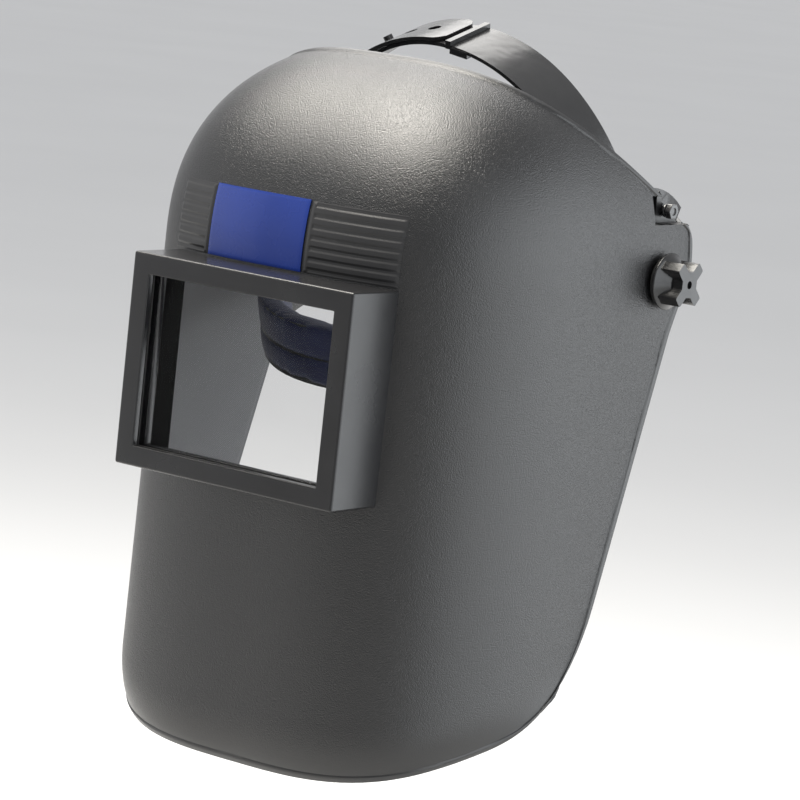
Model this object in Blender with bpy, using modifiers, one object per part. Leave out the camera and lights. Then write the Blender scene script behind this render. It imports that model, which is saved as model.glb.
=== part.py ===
"""Welding helmet with a fixed window, a tilting shell and ratchet headgear.

Front is -Y, the wearer's left is +X and up is +Z. The origin is the centre of the headband, where
the wearer's head carries the helmet. The headgear hangs nose down inside the shell by HEADGEAR_TILT.
"""

import math

import bmesh
import bpy
from mathutils import Matrix, Vector

MM = 0.001
GAP = 0.3 * MM

# The tilt pivots, one at each temple, share one axis along X.
PIVOT = Vector((0, -5.5, 18)) * MM
HEADGEAR_TILT = math.radians(17)

# Moulded shell: a superellipse in plan that narrows over the shoulder into a dome.
SHELL_HALF_WIDTH = 100 * MM
SHELL_DEPTH = 120.2 * MM
SHELL_PLAN_CENTRE = -18 * MM
SHELL_PLAN_POWER = 3.1
SHELL_SHOULDER = 12.2 * MM
SHELL_RISE = 94.4 * MM
SHELL_RISE_POWER = 2.44
SHELL_FLARE = 0.06
SHELL_WALL = 2.5 * MM
SHELL_BACK = 24 * MM

# Side view of the shell's edge, as (y, z, corner radius).
RIM_SLOPE = -0.65
RIM_FRONT = (-77.6 * MM, 99.2 * MM)
REAR_SLOPE = 0.31
REAR_FOOT = (4.7 * MM, 0)
CHIN_FRONT = (-137 * MM, -195.6 * MM)
CHIN_SLOPE = 0.385
LUG_BACK = 15 * MM
CHIN_CURL = 9 * MM
CHIN_CURL_HEIGHT = 24 * MM

# Window: the standard 108 x 83 mm lens in a box that stands out of the shell.
LENS_SIZE = (108 * MM, 83 * MM)
LENS_THICKNESS = 3 * MM
WINDOW_CENTRE_Z = -33.5 * MM
WINDOW_FRONT = -160.8 * MM
WINDOW_SIZE = (114 * MM, 88.4 * MM)
WINDOW_APERTURE = (96 * MM, 71 * MM)
WINDOW_BORDER = 3 * MM
SLEEVE_SIZE = (111 * MM, 85.8 * MM)
SLEEVE_END = -124 * MM

# Stack along each pivot, as distances from the middle plane.
POCKET_FLOOR = 92.3 * MM
POCKET_CORNER = (-12 * MM, 41.3 * MM)
PLATE_INNER = 87.8 * MM
PLATE_THICKNESS = 2 * MM
CARRIER_OUTER = 87.4 * MM
BAND_LOBE = 77 * MM
LOBE_THICKNESS = 2.4 * MM
BAND_THICKNESS = 2.2 * MM
WASHER_INNER = 100.5 * MM
KNOB_BASE = 102.2 * MM
KNOB_LENGTH = 11 * MM
BOLT_RADIUS = 3 * MM
LIMIT_PIN = Vector((0, 5.6, 28.5)) * MM
TILT_TRAVEL = math.radians(80)

# Headgear, in its own tilted frame with its origin on the pivot axis.
BAND_CENTRE = Vector((0, 0, -18.8)) * MM
BAND_HALF = (78 * MM, 98 * MM)
BAND_POWER = 2.35
BAND_HEIGHT = 26 * MM
TEMPLE = Vector((74, 39.5, -18.8)) * MM
STRAP_HALF = (81 * MM, 101 * MM)
STRAP_THICKNESS = 1.8 * MM
STRAP_HEIGHT = 22 * MM
CROWN_HALF = (73.5 * MM, 77.2 * MM)
CROWN_CENTRE_Z = 18 * MM
CROWN_Y = 0
CROWN_WIDTH = 28 * MM
CROWN_THICKNESS = 1.6 * MM
CROWN_SPLAY = 2.4 * MM
CROWN_RIVET = Vector((0, 0, 19.5)) * MM

# Ratchet at the nape.
PINION_TEETH = 12
MODULE = 1 * MM
RACK_Y = 98 * MM
HOUSING_HALF = (27 * MM, 15 * MM)
HOUSING_SKIN = 2.2 * MM
CHANNEL_HALF = 3.3 * MM


def fresh_scene():
    for obj in list(bpy.data.objects):
        bpy.data.objects.remove(obj, do_unlink=True)
    parts = bpy.data.collections.new("welding_helmet")
    cutters = bpy.data.collections.new("cutters")
    for collection in (parts, cutters):
        bpy.context.scene.collection.children.link(collection)
    return parts, cutters


PARTS, CUTTERS = fresh_scene()


def finish(name, colour, roughness, metallic=0.0, alpha=1.0):
    material = bpy.data.materials.new(name)
    material.use_nodes = True
    shader = material.node_tree.nodes["Principled BSDF"]
    shader.inputs["Base Color"].default_value = (*colour, 1)
    shader.inputs["Roughness"].default_value = roughness
    shader.inputs["Metallic"].default_value = metallic
    shader.inputs["Alpha"].default_value = alpha
    return material


def frame_at(name, location, parent=None, tilt=0.0):
    """An empty that carries the pieces of one body. Its origin is on the body's joint axis."""
    empty = bpy.data.objects.new(name, None)
    PARTS.objects.link(empty)
    empty.empty_display_size = 0.02
    empty.parent = parent
    empty.location = location
    empty.rotation_euler.x = tilt
    return empty


def mesh_object(name, bm, collection):
    mesh = bpy.data.meshes.new(name)
    bm.to_mesh(mesh)
    bm.free()
    obj = bpy.data.objects.new(name, mesh)
    collection.objects.link(obj)
    return obj


def part(name, bm, frame, material, offset=(0, 0, 0)):
    """A sub-part drawn in the coordinates that its frame stands in, less the frame's own offset."""
    bmesh.ops.recalc_face_normals(bm, faces=bm.faces)
    obj = mesh_object(name, bm, PARTS)
    obj.data.materials.append(material)
    obj.data.shade_smooth()
    obj.data.set_sharp_from_angle(angle=math.radians(35))
    obj.parent = frame
    obj.location = -Vector(offset)
    return obj


def cutter(name, bm, frame=None, offset=(0, 0, 0)):
    bmesh.ops.recalc_face_normals(bm, faces=bm.faces)
    obj = mesh_object(name, bm, CUTTERS)
    obj.hide_render = True
    obj.display_type = "WIRE"
    obj.parent = frame
    obj.location = -Vector(offset)
    return obj


def combine(obj, other, operation="DIFFERENCE"):
    modifier = obj.modifiers.new(other.name, "BOOLEAN")
    modifier.operation = operation
    modifier.object = other
    return obj


def box(low, high, bm=None):
    bm = bm or bmesh.new()
    low, high = Vector(low), Vector(high)
    place = Matrix.Translation((low + high) / 2) @ Matrix.Diagonal((*(high - low), 1))
    bmesh.ops.create_cube(bm, size=1, matrix=place)
    return bm


def across(axis):
    """Turns +Z onto the named axis."""
    return Vector((0, 0, 1)).rotation_difference(Vector(axis)).to_matrix().to_4x4()


def cylinder(start, end, radius, radius_end=None, segments=40, bm=None):
    bm = bm or bmesh.new()
    start, end = Vector(start), Vector(end)
    place = Matrix.Translation((start + end) / 2) @ across((end - start).normalized())
    radius_end = radius if radius_end is None else radius_end
    bmesh.ops.create_cone(
        bm,
        cap_ends=True,
        segments=segments,
        radius1=radius,
        radius2=radius_end,
        depth=(end - start).length,
        matrix=place,
    )
    return bm


def turned(profile, start, axis, segments=40):
    """A solid of revolution from (distance along the axis, radius) pairs, both ends on the axis."""
    bm = bmesh.new()
    verts = [bm.verts.new((radius, 0, along)) for along, radius in profile]
    edges = [bm.edges.new(pair) for pair in zip(verts, verts[1:])]
    bmesh.ops.spin(
        bm,
        geom=verts + edges,
        cent=(0, 0, 0),
        axis=(0, 0, 1),
        angle=2 * math.pi,
        steps=segments,
        use_merge=True,
    )
    bmesh.ops.remove_doubles(bm, verts=bm.verts, dist=1e-6)
    bm.transform(Matrix.Translation(start) @ across(axis))
    return bm


def prism(outline, low, high, axis="X"):
    """A flat outline extruded between two planes square to the axis."""
    lift = {
        "X": lambda u, v, w: (w, u, v),
        "Y": lambda u, v, w: (u, w, v),
        "Z": lambda u, v, w: (u, v, w),
    }[axis]
    bm = bmesh.new()
    face = bm.faces.new([bm.verts.new(lift(u, v, low)) for u, v in outline])
    sweep = bmesh.ops.extrude_face_region(bm, geom=[face])
    moved = [item for item in sweep["geom"] if isinstance(item, bmesh.types.BMVert)]
    bmesh.ops.translate(bm, verts=moved, vec=lift(0, 0, high - low))
    return bm


def rounded(corners, steps=8):
    """An outline whose (x, y, radius) corners are rounded with arcs."""
    points = []
    for i, (x, y, radius) in enumerate(corners):
        here = Vector((x, y))
        back = (Vector(corners[i - 1][:2]) - here).normalized()
        ahead = (Vector(corners[(i + 1) % len(corners)][:2]) - here).normalized()
        if radius == 0:
            points.append(here)
            continue
        half = back.angle(ahead) / 2
        centre = here + (back + ahead).normalized() * radius / math.sin(half)
        first = here + back * radius / math.tan(half) - centre
        turn = math.pi - 2 * half
        if back.x * ahead.y - back.y * ahead.x > 0:
            turn = -turn
        for step in range(steps + 1):
            points.append(centre + Matrix.Rotation(turn * step / steps, 2) @ first)
    return points


def power(value, exponent):
    return math.copysign(abs(value) ** exponent, value)


def superellipse(half_x, half_y, exponent, angle):
    """The point at this angle, counted from -Y towards +X."""
    x = half_x * power(math.sin(angle), 2 / exponent)
    y = -half_y * power(math.cos(angle), 2 / exponent)
    return Vector((x, y))


def chin_height(y):
    return CHIN_FRONT[1] + CHIN_SLOPE * (y - CHIN_FRONT[0])


def shell_scale(z, wall):
    """How much of its full plan the shell keeps at this height."""
    if z <= SHELL_SHOULDER:
        return 1 + SHELL_FLARE * (SHELL_SHOULDER - z)
    share = min((z - SHELL_SHOULDER) / (SHELL_RISE - wall), 0.9999)
    return (1 - share**SHELL_RISE_POWER) ** (1 / SHELL_RISE_POWER)


def curled(point):
    """Draws the skin in towards the throat just above the chin edge, most at the front."""
    above = max(point.z - chin_height(point.y), 0)
    share = max(1 - above / CHIN_CURL_HEIGHT, 0)
    front = min(max((-60 * MM - point.y) / (50 * MM), 0), 1)
    inward = Vector((-point.x, SHELL_PLAN_CENTRE - point.y, 0))
    depth = CHIN_CURL * (1 - math.sqrt(1 - 0.98 * share * share)) * front
    return point + inward.normalized() * depth


def shell_ring(wall, height_at, steps):
    """One closed ring of the shell's plan, at the height that height_at gives for each y."""
    ring = []
    for i in range(-1, steps + 2):
        angle = math.pi * (min(max(i, 0), steps) / steps - 0.5)
        plan = superellipse(1, 1, SHELL_PLAN_POWER, angle)
        at_back = i in (-1, steps + 1)
        y = SHELL_BACK if at_back else SHELL_PLAN_CENTRE + plan.y * (SHELL_DEPTH - wall)
        z = height_at(y)
        scale = shell_scale(z, wall)
        if not at_back:
            y = SHELL_PLAN_CENTRE + plan.y * (SHELL_DEPTH - wall) * scale
        x = (SHELL_HALF_WIDTH - wall) * plan.x * scale
        ring.append(curled(Vector((x, y, z))))
    return ring


def wall_height(above_chin):
    """Heights of a ring below the shoulder. The rings fan out from the sloping chin edge."""
    share = above_chin * MM / (SHELL_SHOULDER - CHIN_FRONT[1])
    return lambda y: chin_height(y) + share * (SHELL_SHOULDER - chin_height(y))


def dome_height(share, wall):
    rise = math.sin(share * math.radians(86)) ** 0.8
    return lambda y: SHELL_SHOULDER + (SHELL_RISE - wall) * rise


def shell_plug(wall, steps=32):
    """The solid inside the shell's outer skin, or inside the skin that lies a wall's thickness in."""
    levels = [wall_height(row) for row in (-8, 1, 4, 8, 13, 19, 26, 45, 75, 105, 135, 165)]
    levels += [dome_height(step / 11, wall) for step in range(12)]
    bm = bmesh.new()
    rings = [[bm.verts.new(p) for p in shell_ring(wall, level, steps)] for level in levels]
    for lower, upper in zip(rings, rings[1:]):
        for i in range(len(lower)):
            j = (i + 1) % len(lower)
            bm.faces.new((lower[i], lower[j], upper[j], upper[i]))
    bm.faces.new(rings[0][::-1])
    bm.faces.new(rings[-1])
    return bm


def rim_height(y):
    return RIM_FRONT[1] + RIM_SLOPE * (y - RIM_FRONT[0])


def shell_outline():
    """Side view of what the shell keeps: rim, pivot lug, rear edge, chin edge and the far front."""
    far_front = -200 * MM
    rear_z = -160.3 * MM
    neck_z = -5 * MM
    return rounded(
        [
            (far_front, rim_height(far_front), 0),
            (LUG_BACK, rim_height(LUG_BACK), 12 * MM),
            (LUG_BACK, 22 * MM, 18 * MM),
            (REAR_FOOT[0] + REAR_SLOPE * neck_z, neck_z, 40 * MM),
            (REAR_FOOT[0] + REAR_SLOPE * rear_z, rear_z, 90 * MM),
            (far_front, chin_height(far_front), 0),
        ],
        steps=10,
    )


def side_name(side):
    return "left" if side > 0 else "right"


def make_shell(frame, material):
    shell = part("shell", shell_plug(0), frame, material, PIVOT)
    hollow = cutter("shell_hollow", shell_plug(SHELL_WALL), frame, PIVOT)
    keep = cutter("shell_edge", prism(shell_outline(), -130 * MM, 130 * MM), frame, PIVOT)
    pin = PIVOT + LIMIT_PIN
    for side in (1, -1):
        name = side_name(side)
        floor_block = box(
            (side * (POCKET_FLOOR - 2 * MM), POCKET_CORNER[0] - 2.4 * MM, POCKET_CORNER[1] - 2.4 * MM),
            (side * 118 * MM, 26 * MM, 64 * MM),
        )
        combine(hollow, cutter("pocket_block_" + name, floor_block, frame, PIVOT))
    combine(shell, hollow)
    combine(shell, keep, "INTERSECT")
    for side in (1, -1):
        name = side_name(side)
        pocket = box(
            (side * POCKET_FLOOR, *POCKET_CORNER),
            (side * 120 * MM, 30 * MM, 70 * MM),
        )
        combine(shell, cutter("pocket_" + name, pocket, frame, PIVOT))
        holes = cylinder(
            (side * 80 * MM, pin.y, pin.z), (side * 110 * MM, pin.y, pin.z), 2.4 * MM, segments=16
        )
        cylinder(
            (side * 80 * MM, PIVOT.y, PIVOT.z),
            (side * 110 * MM, PIVOT.y, PIVOT.z),
            BOLT_RADIUS + 0.5 * MM,
            segments=24,
            bm=holes,
        )
        combine(shell, cutter("side_holes_" + name, holes, frame, PIVOT))
    width, height = SLEEVE_SIZE
    clear = 2 * GAP
    opening = box(
        (-width / 2 - clear, -170 * MM, WINDOW_CENTRE_Z - height / 2 - clear),
        (width / 2 + clear, -100 * MM, WINDOW_CENTRE_Z + height / 2 + clear),
    )
    combine(shell, cutter("window_opening", opening, frame, PIVOT))


def window_box(size, front, back):
    width, height = size
    return box(
        (-width / 2, front, WINDOW_CENTRE_Z - height / 2),
        (width / 2, back, WINDOW_CENTRE_Z + height / 2),
    )


def make_window(frame, materials):
    body = part("window_frame", window_box(WINDOW_SIZE, WINDOW_FRONT, -122 * MM), frame,
                materials["gloss_black"], PIVOT)
    body.modifiers.new("rounded", "BEVEL").width = 1.2 * MM
    body.modifiers["rounded"].segments = 2
    combine(body, cutter("window_seat_on_shell", shell_plug(-GAP), frame, PIVOT))
    sleeve = cutter("window_sleeve", window_box(SLEEVE_SIZE, -158 * MM, SLEEVE_END), frame, PIVOT)
    combine(body, sleeve, "UNION")
    pocket_size = (LENS_SIZE[0] + 0.4 * MM, LENS_SIZE[1] + 0.4 * MM)
    lens_seat = WINDOW_FRONT + WINDOW_BORDER
    pocket = window_box(pocket_size, lens_seat, -110 * MM)
    combine(body, cutter("lens_pocket", pocket, frame, PIVOT))
    aperture = window_box(WINDOW_APERTURE, -170 * MM, -150 * MM)
    combine(body, cutter("window_aperture", aperture, frame, PIVOT))
    layers = (
        ("lens_gasket", 0.8 * MM, "rubber"),
        ("cover_lens", LENS_THICKNESS, "clear"),
        ("lens_retainer", 4 * MM, "satin_black"),
    )
    front = lens_seat
    for name, thickness, material in layers:
        front += GAP
        size = (LENS_SIZE[0] - 0.4 * MM, LENS_SIZE[1] - 0.4 * MM)
        layer = part(name, window_box(size, front, front + thickness), frame,
                     materials[material], PIVOT)
        if name != "cover_lens":
            inside = window_box(WINDOW_APERTURE, front - 2 * MM, front + 8 * MM)
            combine(layer, cutter(name + "_aperture", inside, frame, PIVOT))
        front += thickness


def shell_front(x, z, proud):
    """The point of the shell's outer face at this width and height, or that far in front of it."""
    half = (SHELL_HALF_WIDTH + proud) * shell_scale(z, -proud)
    depth = (SHELL_DEPTH + proud) * shell_scale(z, -proud)
    inside = 1 - abs(x / half) ** SHELL_PLAN_POWER
    return Vector((x, SHELL_PLAN_CENTRE - depth * inside ** (1 / SHELL_PLAN_POWER), z))


def make_label(frame, material):
    """A thin blank badge that follows the brow of the shell."""
    low, high = Vector((-38, 11.6)) * MM, Vector((12, 41)) * MM
    bm = bmesh.new()
    bmesh.ops.create_grid(bm, x_segments=12, y_segments=6, size=1)
    for vert in bm.verts:
        x = low.x + (high.x - low.x) * (vert.co.x + 1) / 2
        z = low.y + (high.y - low.y) * (vert.co.y + 1) / 2
        vert.co = shell_front(x, z, 0.8 * MM)
    label = part("brow_label", bm, frame, material, PIVOT)
    if label.data.polygons[0].normal.y > 0:
        label.data.flip_normals()
    solid = label.modifiers.new("thickness", "SOLIDIFY")
    solid.thickness = 0.4 * MM
    solid.offset = -1


def side_ring(start, end, y, z, outer, inner, segments=40):
    """A washer or bush on an axis along X."""
    low, high = sorted((start, end))
    return turned(
        [(0, inner), (0, outer), (high - low, outer), (high - low, inner), (0, inner)],
        (low, y, z),
        (1, 0, 0),
        segments,
    )


def make_limit_plates(frame, materials):
    """Each plate clamps under the shell at the pivot and carries the lug that stops the tilt."""
    for side in (1, -1):
        name = side_name(side)
        inner = side * PLATE_INNER
        outer = side * (PLATE_INNER + PLATE_THICKNESS)
        reach = 37.5 * MM
        angles = [math.radians(96 - 6.5 * i) for i in range(8)]
        fan = [(PIVOT.y + reach * math.cos(a), PIVOT.z + reach * math.sin(a)) for a in angles]
        foot = [(PIVOT.y + y * MM, PIVOT.z + z * MM) for y, z in ((11, 3), (-11, 3))]
        low, high = sorted((inner, outer))
        plate = part(f"limit_plate_{name}", prism(fan + foot, low, high), frame,
                     materials["satin_black"], PIVOT)
        hub = cylinder(
            (inner, PIVOT.y, PIVOT.z), (side * 96.2 * MM, PIVOT.y, PIVOT.z), 11.5 * MM, 9 * MM
        )
        combine(plate, cutter(f"plate_hub_{name}", hub, frame, PIVOT), "UNION")
        lug = box(
            (side * (PLATE_INNER + 1 * MM), PIVOT.y - 2 * MM, PIVOT.z + 9.3 * MM),
            (side * 84.8 * MM, PIVOT.y + 2 * MM, PIVOT.z + 12.7 * MM),
        )
        combine(plate, cutter(f"plate_lug_{name}", lug, frame, PIVOT), "UNION")
        pin = PIVOT + LIMIT_PIN
        holes = cylinder(
            (side * 80 * MM, pin.y, pin.z), (side * 110 * MM, pin.y, pin.z), 2.4 * MM, segments=16
        )
        cylinder(
            (side * 80 * MM, PIVOT.y, PIVOT.z),
            (side * 110 * MM, PIVOT.y, PIVOT.z),
            BOLT_RADIUS + 0.4 * MM,
            segments=24,
            bm=holes,
        )
        combine(plate, cutter(f"plate_holes_{name}", holes, frame, PIVOT))
        make_limit_pin(side, name, pin, frame, materials["peg"])


def make_limit_pin(side, name, pin, frame, material):
    """A snap pin: flange behind the plate, shank through plate and pocket floor, hex head outside."""
    profile = [
        (0, 0),
        (0, 3.6),
        (1.2, 3.6),
        (1.2, 2.0),
        (7.4, 2.0),
        (7.4, 2.9),
        (8.6, 2.9),
        (8.6, 2.0),
        (9.4, 2.0),
        (9.4, 0),
    ]
    start = PLATE_INNER - 1.5 * MM
    bm = turned(
        [(along * MM, radius * MM) for along, radius in profile],
        (side * start, pin.y, pin.z),
        (side, 0, 0),
        segments=24,
    )
    piece = part(f"limit_pin_{name}", bm, frame, material, PIVOT)
    head = cylinder(
        (side * (start + 9.2 * MM), pin.y, pin.z),
        (side * (start + 12 * MM), pin.y, pin.z),
        3.5 * MM,
        segments=6,
    )
    combine(piece, cutter(f"pin_head_{name}", head, frame, PIVOT), "UNION")


def band_point(half, angle):
    point = superellipse(half[0], half[1], BAND_POWER, angle)
    return Vector((point.x, point.y + BAND_CENTRE.y, 0))


def strip(path, low, high):
    """An open upright strip along a path, ready for Solidify."""
    bm = bmesh.new()
    verts = [bm.verts.new((p.x, p.y, low)) for p in path]
    edges = [bm.edges.new(pair) for pair in zip(verts, verts[1:])]
    sweep = bmesh.ops.extrude_edge_only(bm, edges=edges)
    moved = [item for item in sweep["geom"] if isinstance(item, bmesh.types.BMVert)]
    bmesh.ops.translate(bm, verts=moved, vec=(0, 0, high - low))
    return bm


def thicken(obj, thickness, offset=0.0):
    solid = obj.modifiers.new("thickness", "SOLIDIFY")
    solid.thickness = thickness
    solid.offset = offset
    solid.use_even_offset = True
    return obj


def sweep_angles(first, last, steps):
    return [math.radians(first + (last - first) * i / steps) for i in range(steps + 1)]


def make_headband(frame, materials):
    """The front band runs temple to temple and rises at each side into the lobe that holds the pivot."""
    path = [band_point(BAND_HALF, a) for a in sweep_angles(-113, 113, 48)]
    low = BAND_CENTRE.z - BAND_HEIGHT / 2
    high = BAND_CENTRE.z + BAND_HEIGHT / 2
    band = part("headband", strip(path, low, high), frame, materials["satin_black"])
    thicken(band, BAND_THICKNESS)
    lobe_outline = rounded(
        [
            (-19 * MM, -30 * MM, 4 * MM),
            (19 * MM, -30 * MM, 4 * MM),
            (15 * MM, 28 * MM, 10 * MM),
            (-15 * MM, 28 * MM, 10 * MM),
        ],
        steps=5,
    )
    for side in (1, -1):
        name = side_name(side)
        low_x, high_x = sorted((side * BAND_LOBE, side * (BAND_LOBE + LOBE_THICKNESS)))
        lobe = cutter(f"lobe_{name}", prism(lobe_outline, low_x, high_x), frame)
        combine(band, lobe, "UNION")
        holes = cylinder((side * 70 * MM, 0, 0), (side * 95 * MM, 0, 0),
                         BOLT_RADIUS + 0.4 * MM, segments=24)
        cylinder((side * 70 * MM, *CROWN_RIVET.yz), (side * 95 * MM, *CROWN_RIVET.yz),
                 2.4 * MM, segments=16, bm=holes)
        cylinder((side * 60 * MM, TEMPLE.y, TEMPLE.z), (side * 95 * MM, TEMPLE.y, TEMPLE.z),
                 2.6 * MM, segments=16, bm=holes)
        combine(band, cutter(f"band_holes_{name}", holes, frame))


def make_sweatband(frame, material):
    """A padded sleeve slipped over the brow of the headband."""
    angles = sweep_angles(-66, 66, 36)
    middle = (BAND_HALF[0] - 2.6 * MM, BAND_HALF[1] - 2.6 * MM)
    path = [band_point(middle, a) for a in angles]
    height = BAND_HEIGHT / 2 + 2.6 * MM
    sleeve = part("sweatband", strip(path, BAND_CENTRE.z - height, BAND_CENTRE.z + height),
                  frame, material)
    thicken(sleeve, 11.5 * MM)
    slot_path = [band_point(BAND_HALF, a) for a in sweep_angles(-80, 80, 48)]
    slot_height = BAND_HEIGHT / 2 + 2 * GAP
    slot = cutter(
        "sweatband_slot",
        strip(slot_path, BAND_CENTRE.z - slot_height, BAND_CENTRE.z + slot_height),
        frame,
    )
    thicken(slot, BAND_THICKNESS + 3 * GAP)
    combine(sleeve, slot)


def make_pivots(frame, materials):
    """Bolt, carrier and their fits on each side, all fixed to the headband."""
    for side in (1, -1):
        name = side_name(side)
        start = BAND_LOBE + LOBE_THICKNESS + GAP
        carrier = part(
            f"pivot_carrier_{name}",
            side_ring(side * start, side * CARRIER_OUTER, 0, 0, 13.5 * MM, 3.4 * MM),
            frame,
            materials["satin_black"],
        )
        travel = math.degrees(TILT_TRAVEL)
        first = 90 - math.degrees(HEADGEAR_TILT) + 12.5
        angles = sweep_angles(first, first - travel - 25, 14)
        notch = [(0, 0)] + [(20 * MM * math.cos(a), 20 * MM * math.sin(a)) for a in angles]
        low, high = sorted((side * 84.4 * MM, side * 95 * MM))
        sector = cutter(f"stop_notch_{name}", prism(notch, low, high), frame)
        hub = side_ring(side * 80 * MM, side * 100 * MM, 0, 0, 8.9 * MM, 2 * MM)
        combine(sector, cutter(f"stop_hub_{name}", hub, frame))
        combine(carrier, sector)
        bolt_profile = [
            (0, 0),
            (0, 7),
            (0.8, 7.8),
            (2.4, 7.8),
            (2.4, BOLT_RADIUS / MM),
            (35.1, BOLT_RADIUS / MM),
            (35.7, BOLT_RADIUS / MM - 0.6),
            (35.7, 0),
        ]
        part(
            f"pivot_bolt_{name}",
            turned(
                [(along * MM, radius * MM) for along, radius in bolt_profile],
                (side * 74.2 * MM, 0, 0),
                (side, 0, 0),
            ),
            frame,
            materials["zinc"],
        )


def crown_point(angle, lift):
    """A point of the crown arch, which splays out to meet the headband's lobes at its two feet."""
    splay = power(math.sin(angle), 8) * (CROWN_SPLAY - lift)
    x = (CROWN_HALF[0] + lift) * math.sin(angle) + math.copysign(splay, angle)
    z = CROWN_CENTRE_Z + (CROWN_HALF[1] + lift) * math.cos(angle)
    return Vector((x, 0, z))


def arch(points, thickness, name, frame, material, half_width):
    bm = bmesh.new()
    verts = [bm.verts.new((p.x, CROWN_Y - half_width, p.z)) for p in points]
    edges = [bm.edges.new(pair) for pair in zip(verts, verts[1:])]
    sweep = bmesh.ops.extrude_edge_only(bm, edges=edges)
    moved = [item for item in sweep["geom"] if isinstance(item, bmesh.types.BMVert)]
    bmesh.ops.translate(bm, verts=moved, vec=(0, 2 * half_width, 0))
    return thicken(part(name, bm, frame, material), thickness)


def radial(angle, low, high, radius, segments=16, bm=None):
    """A cylinder square to the crown arch."""
    normal = Vector((math.sin(angle), 0, math.cos(angle)))
    foot = crown_point(angle, 0) + Vector((0, CROWN_Y, 0))
    return cylinder(foot + normal * low, foot + normal * high, radius, segments=segments, bm=bm)


def make_crown(frame, materials):
    """Two straps meet over the crown: the left one's tongue runs under the right one, pegged into it."""
    inner = -CROWN_THICKNESS / 2
    outer = inner + CROWN_THICKNESS + 0.5 * MM
    foot = Vector((CROWN_HALF[0] + CROWN_SPLAY, 0, 10.5 * MM))
    left_path = [foot] + [crown_point(a, inner) for a in sweep_angles(90, -36, 36)]
    right_path = [crown_point(a, outer) for a in sweep_angles(2, -84, 26)]
    right_path += [Vector((-foot.x, 0, 17 * MM)), Vector((-foot.x, 0, foot.z))]
    half_width = CROWN_WIDTH / 2
    left = arch(left_path, CROWN_THICKNESS, "crown_strap_left", frame,
                materials["satin_black"], half_width)
    right = arch(right_path, CROWN_THICKNESS, "crown_strap_right", frame,
                 materials["satin_black"], half_width)
    keeper_low, keeper_high = sweep_angles(3.2, 7.4, 1)
    keeper = cutter("crown_step", radial_bar(keeper_low, keeper_high, -0.8 * MM, 2.6 * MM), frame)
    combine(left, keeper, "UNION")
    for i, degrees in enumerate((-28, -18, -8)):
        angle = math.radians(degrees)
        hole = cutter(f"crown_hole_{i}", radial(angle, outer - 2 * MM, outer + 3 * MM, 2.9 * MM), frame)
        combine(right, hole)
    peg = radial(math.radians(-28), -1.2 * MM, 4.4 * MM, 2.4 * MM)
    combine(left, cutter("crown_peg", peg, frame), "UNION")
    for side in (1, -1):
        name = side_name(side)
        hole = cylinder((side * 60 * MM, *CROWN_RIVET.yz), (side * 95 * MM, *CROWN_RIVET.yz),
                        2.4 * MM, segments=16)
        cylinder((side * 60 * MM, 0, 0), (side * 95 * MM, 0, 0), 8.6 * MM, bm=hole)
        combine(left if side > 0 else right, cutter(f"crown_foot_hole_{name}", hole, frame))
        profile = [(0, 0), (0, 4), (1, 4), (1, 2), (6.1, 2), (6.1, 4), (6.9, 3.4), (6.9, 0)]
        bm = turned(
            [(along * MM, radius * MM) for along, radius in profile],
            (side * 73.6 * MM, *CROWN_RIVET.yz),
            (side, 0, 0),
            segments=24,
        )
        part(f"crown_rivet_{name}", bm, frame, materials["satin_black"])


def radial_bar(first, last, low, high):
    """A bar across the strap between two angles of the crown arch."""
    points = [crown_point(first, low), crown_point(first, high),
              crown_point(last, high), crown_point(last, low)]
    half = CROWN_WIDTH / 2
    return prism([(p.x, p.z) for p in points], CROWN_Y - half, CROWN_Y + half, "Y")


def rack_outline(side):
    """A toothed bar above the pinion (side 1) or below it (side -1), as an outline in X and Z."""
    pitch = math.pi * MODULE
    tip, root = 5.1 * MM, 7.2 * MM
    outline = []
    for i in range(-3, 4):
        centre = i * pitch
        outline += [(centre - 0.9 * MM, root), (centre - 0.4 * MM, tip),
                    (centre + 0.4 * MM, tip), (centre + 0.9 * MM, root)]
    end = 16 * MM
    outline += [(end + 11 * MM, root), (end + 11 * MM, 11 * MM), (-end, 11 * MM), (-end, root)]
    return [(side * x, BAND_CENTRE.z + side * z) for x, z in outline]


def make_rear_straps(frames, materials):
    """Each rear strap runs from the temple rivet to the nape and ends in a toothed rack."""
    for side in (1, -1):
        name = side_name(side)
        hinge = Vector((side * TEMPLE.x, TEMPLE.y, TEMPLE.z))
        path = [band_point(STRAP_HALF, side * a) for a in sweep_angles(107, 163, 24)]
        path += [Vector((side * 25.4 * MM, RACK_Y, 0)), Vector((side * 22 * MM, RACK_Y, 0))]
        low = BAND_CENTRE.z - STRAP_HEIGHT / 2
        strap = part(f"rear_strap_{name}", strip(path, low, low + STRAP_HEIGHT),
                     frames[side], materials["satin_black"], hinge)
        thicken(strap, STRAP_THICKNESS)
        rack = prism(rack_outline(side), RACK_Y - STRAP_THICKNESS / 2,
                     RACK_Y + STRAP_THICKNESS / 2, "Y")
        combine(strap, cutter(f"rack_{name}", rack, frames[side], hinge), "UNION")
        hole = cylinder((side * 60 * MM, TEMPLE.y, TEMPLE.z), (side * 95 * MM, TEMPLE.y, TEMPLE.z),
                        3.1 * MM, segments=16)
        combine(strap, cutter(f"strap_hole_{name}", hole, frames[side], hinge))


def make_temple_rivets(frame, material):
    for side in (1, -1):
        name = side_name(side)
        profile = [(0, 0), (0, 4.8), (1.2, 4.8), (1.2, 2.2), (9.9, 2.2), (9.9, 4.8), (10.9, 4), (10.9, 0)]
        bm = turned(
            [(along * MM, radius * MM) for along, radius in profile],
            (side * 69.4 * MM, TEMPLE.y, TEMPLE.z),
            (side, 0, 0),
            segments=24,
        )
        part(f"temple_rivet_{name}", bm, frame, material)


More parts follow.
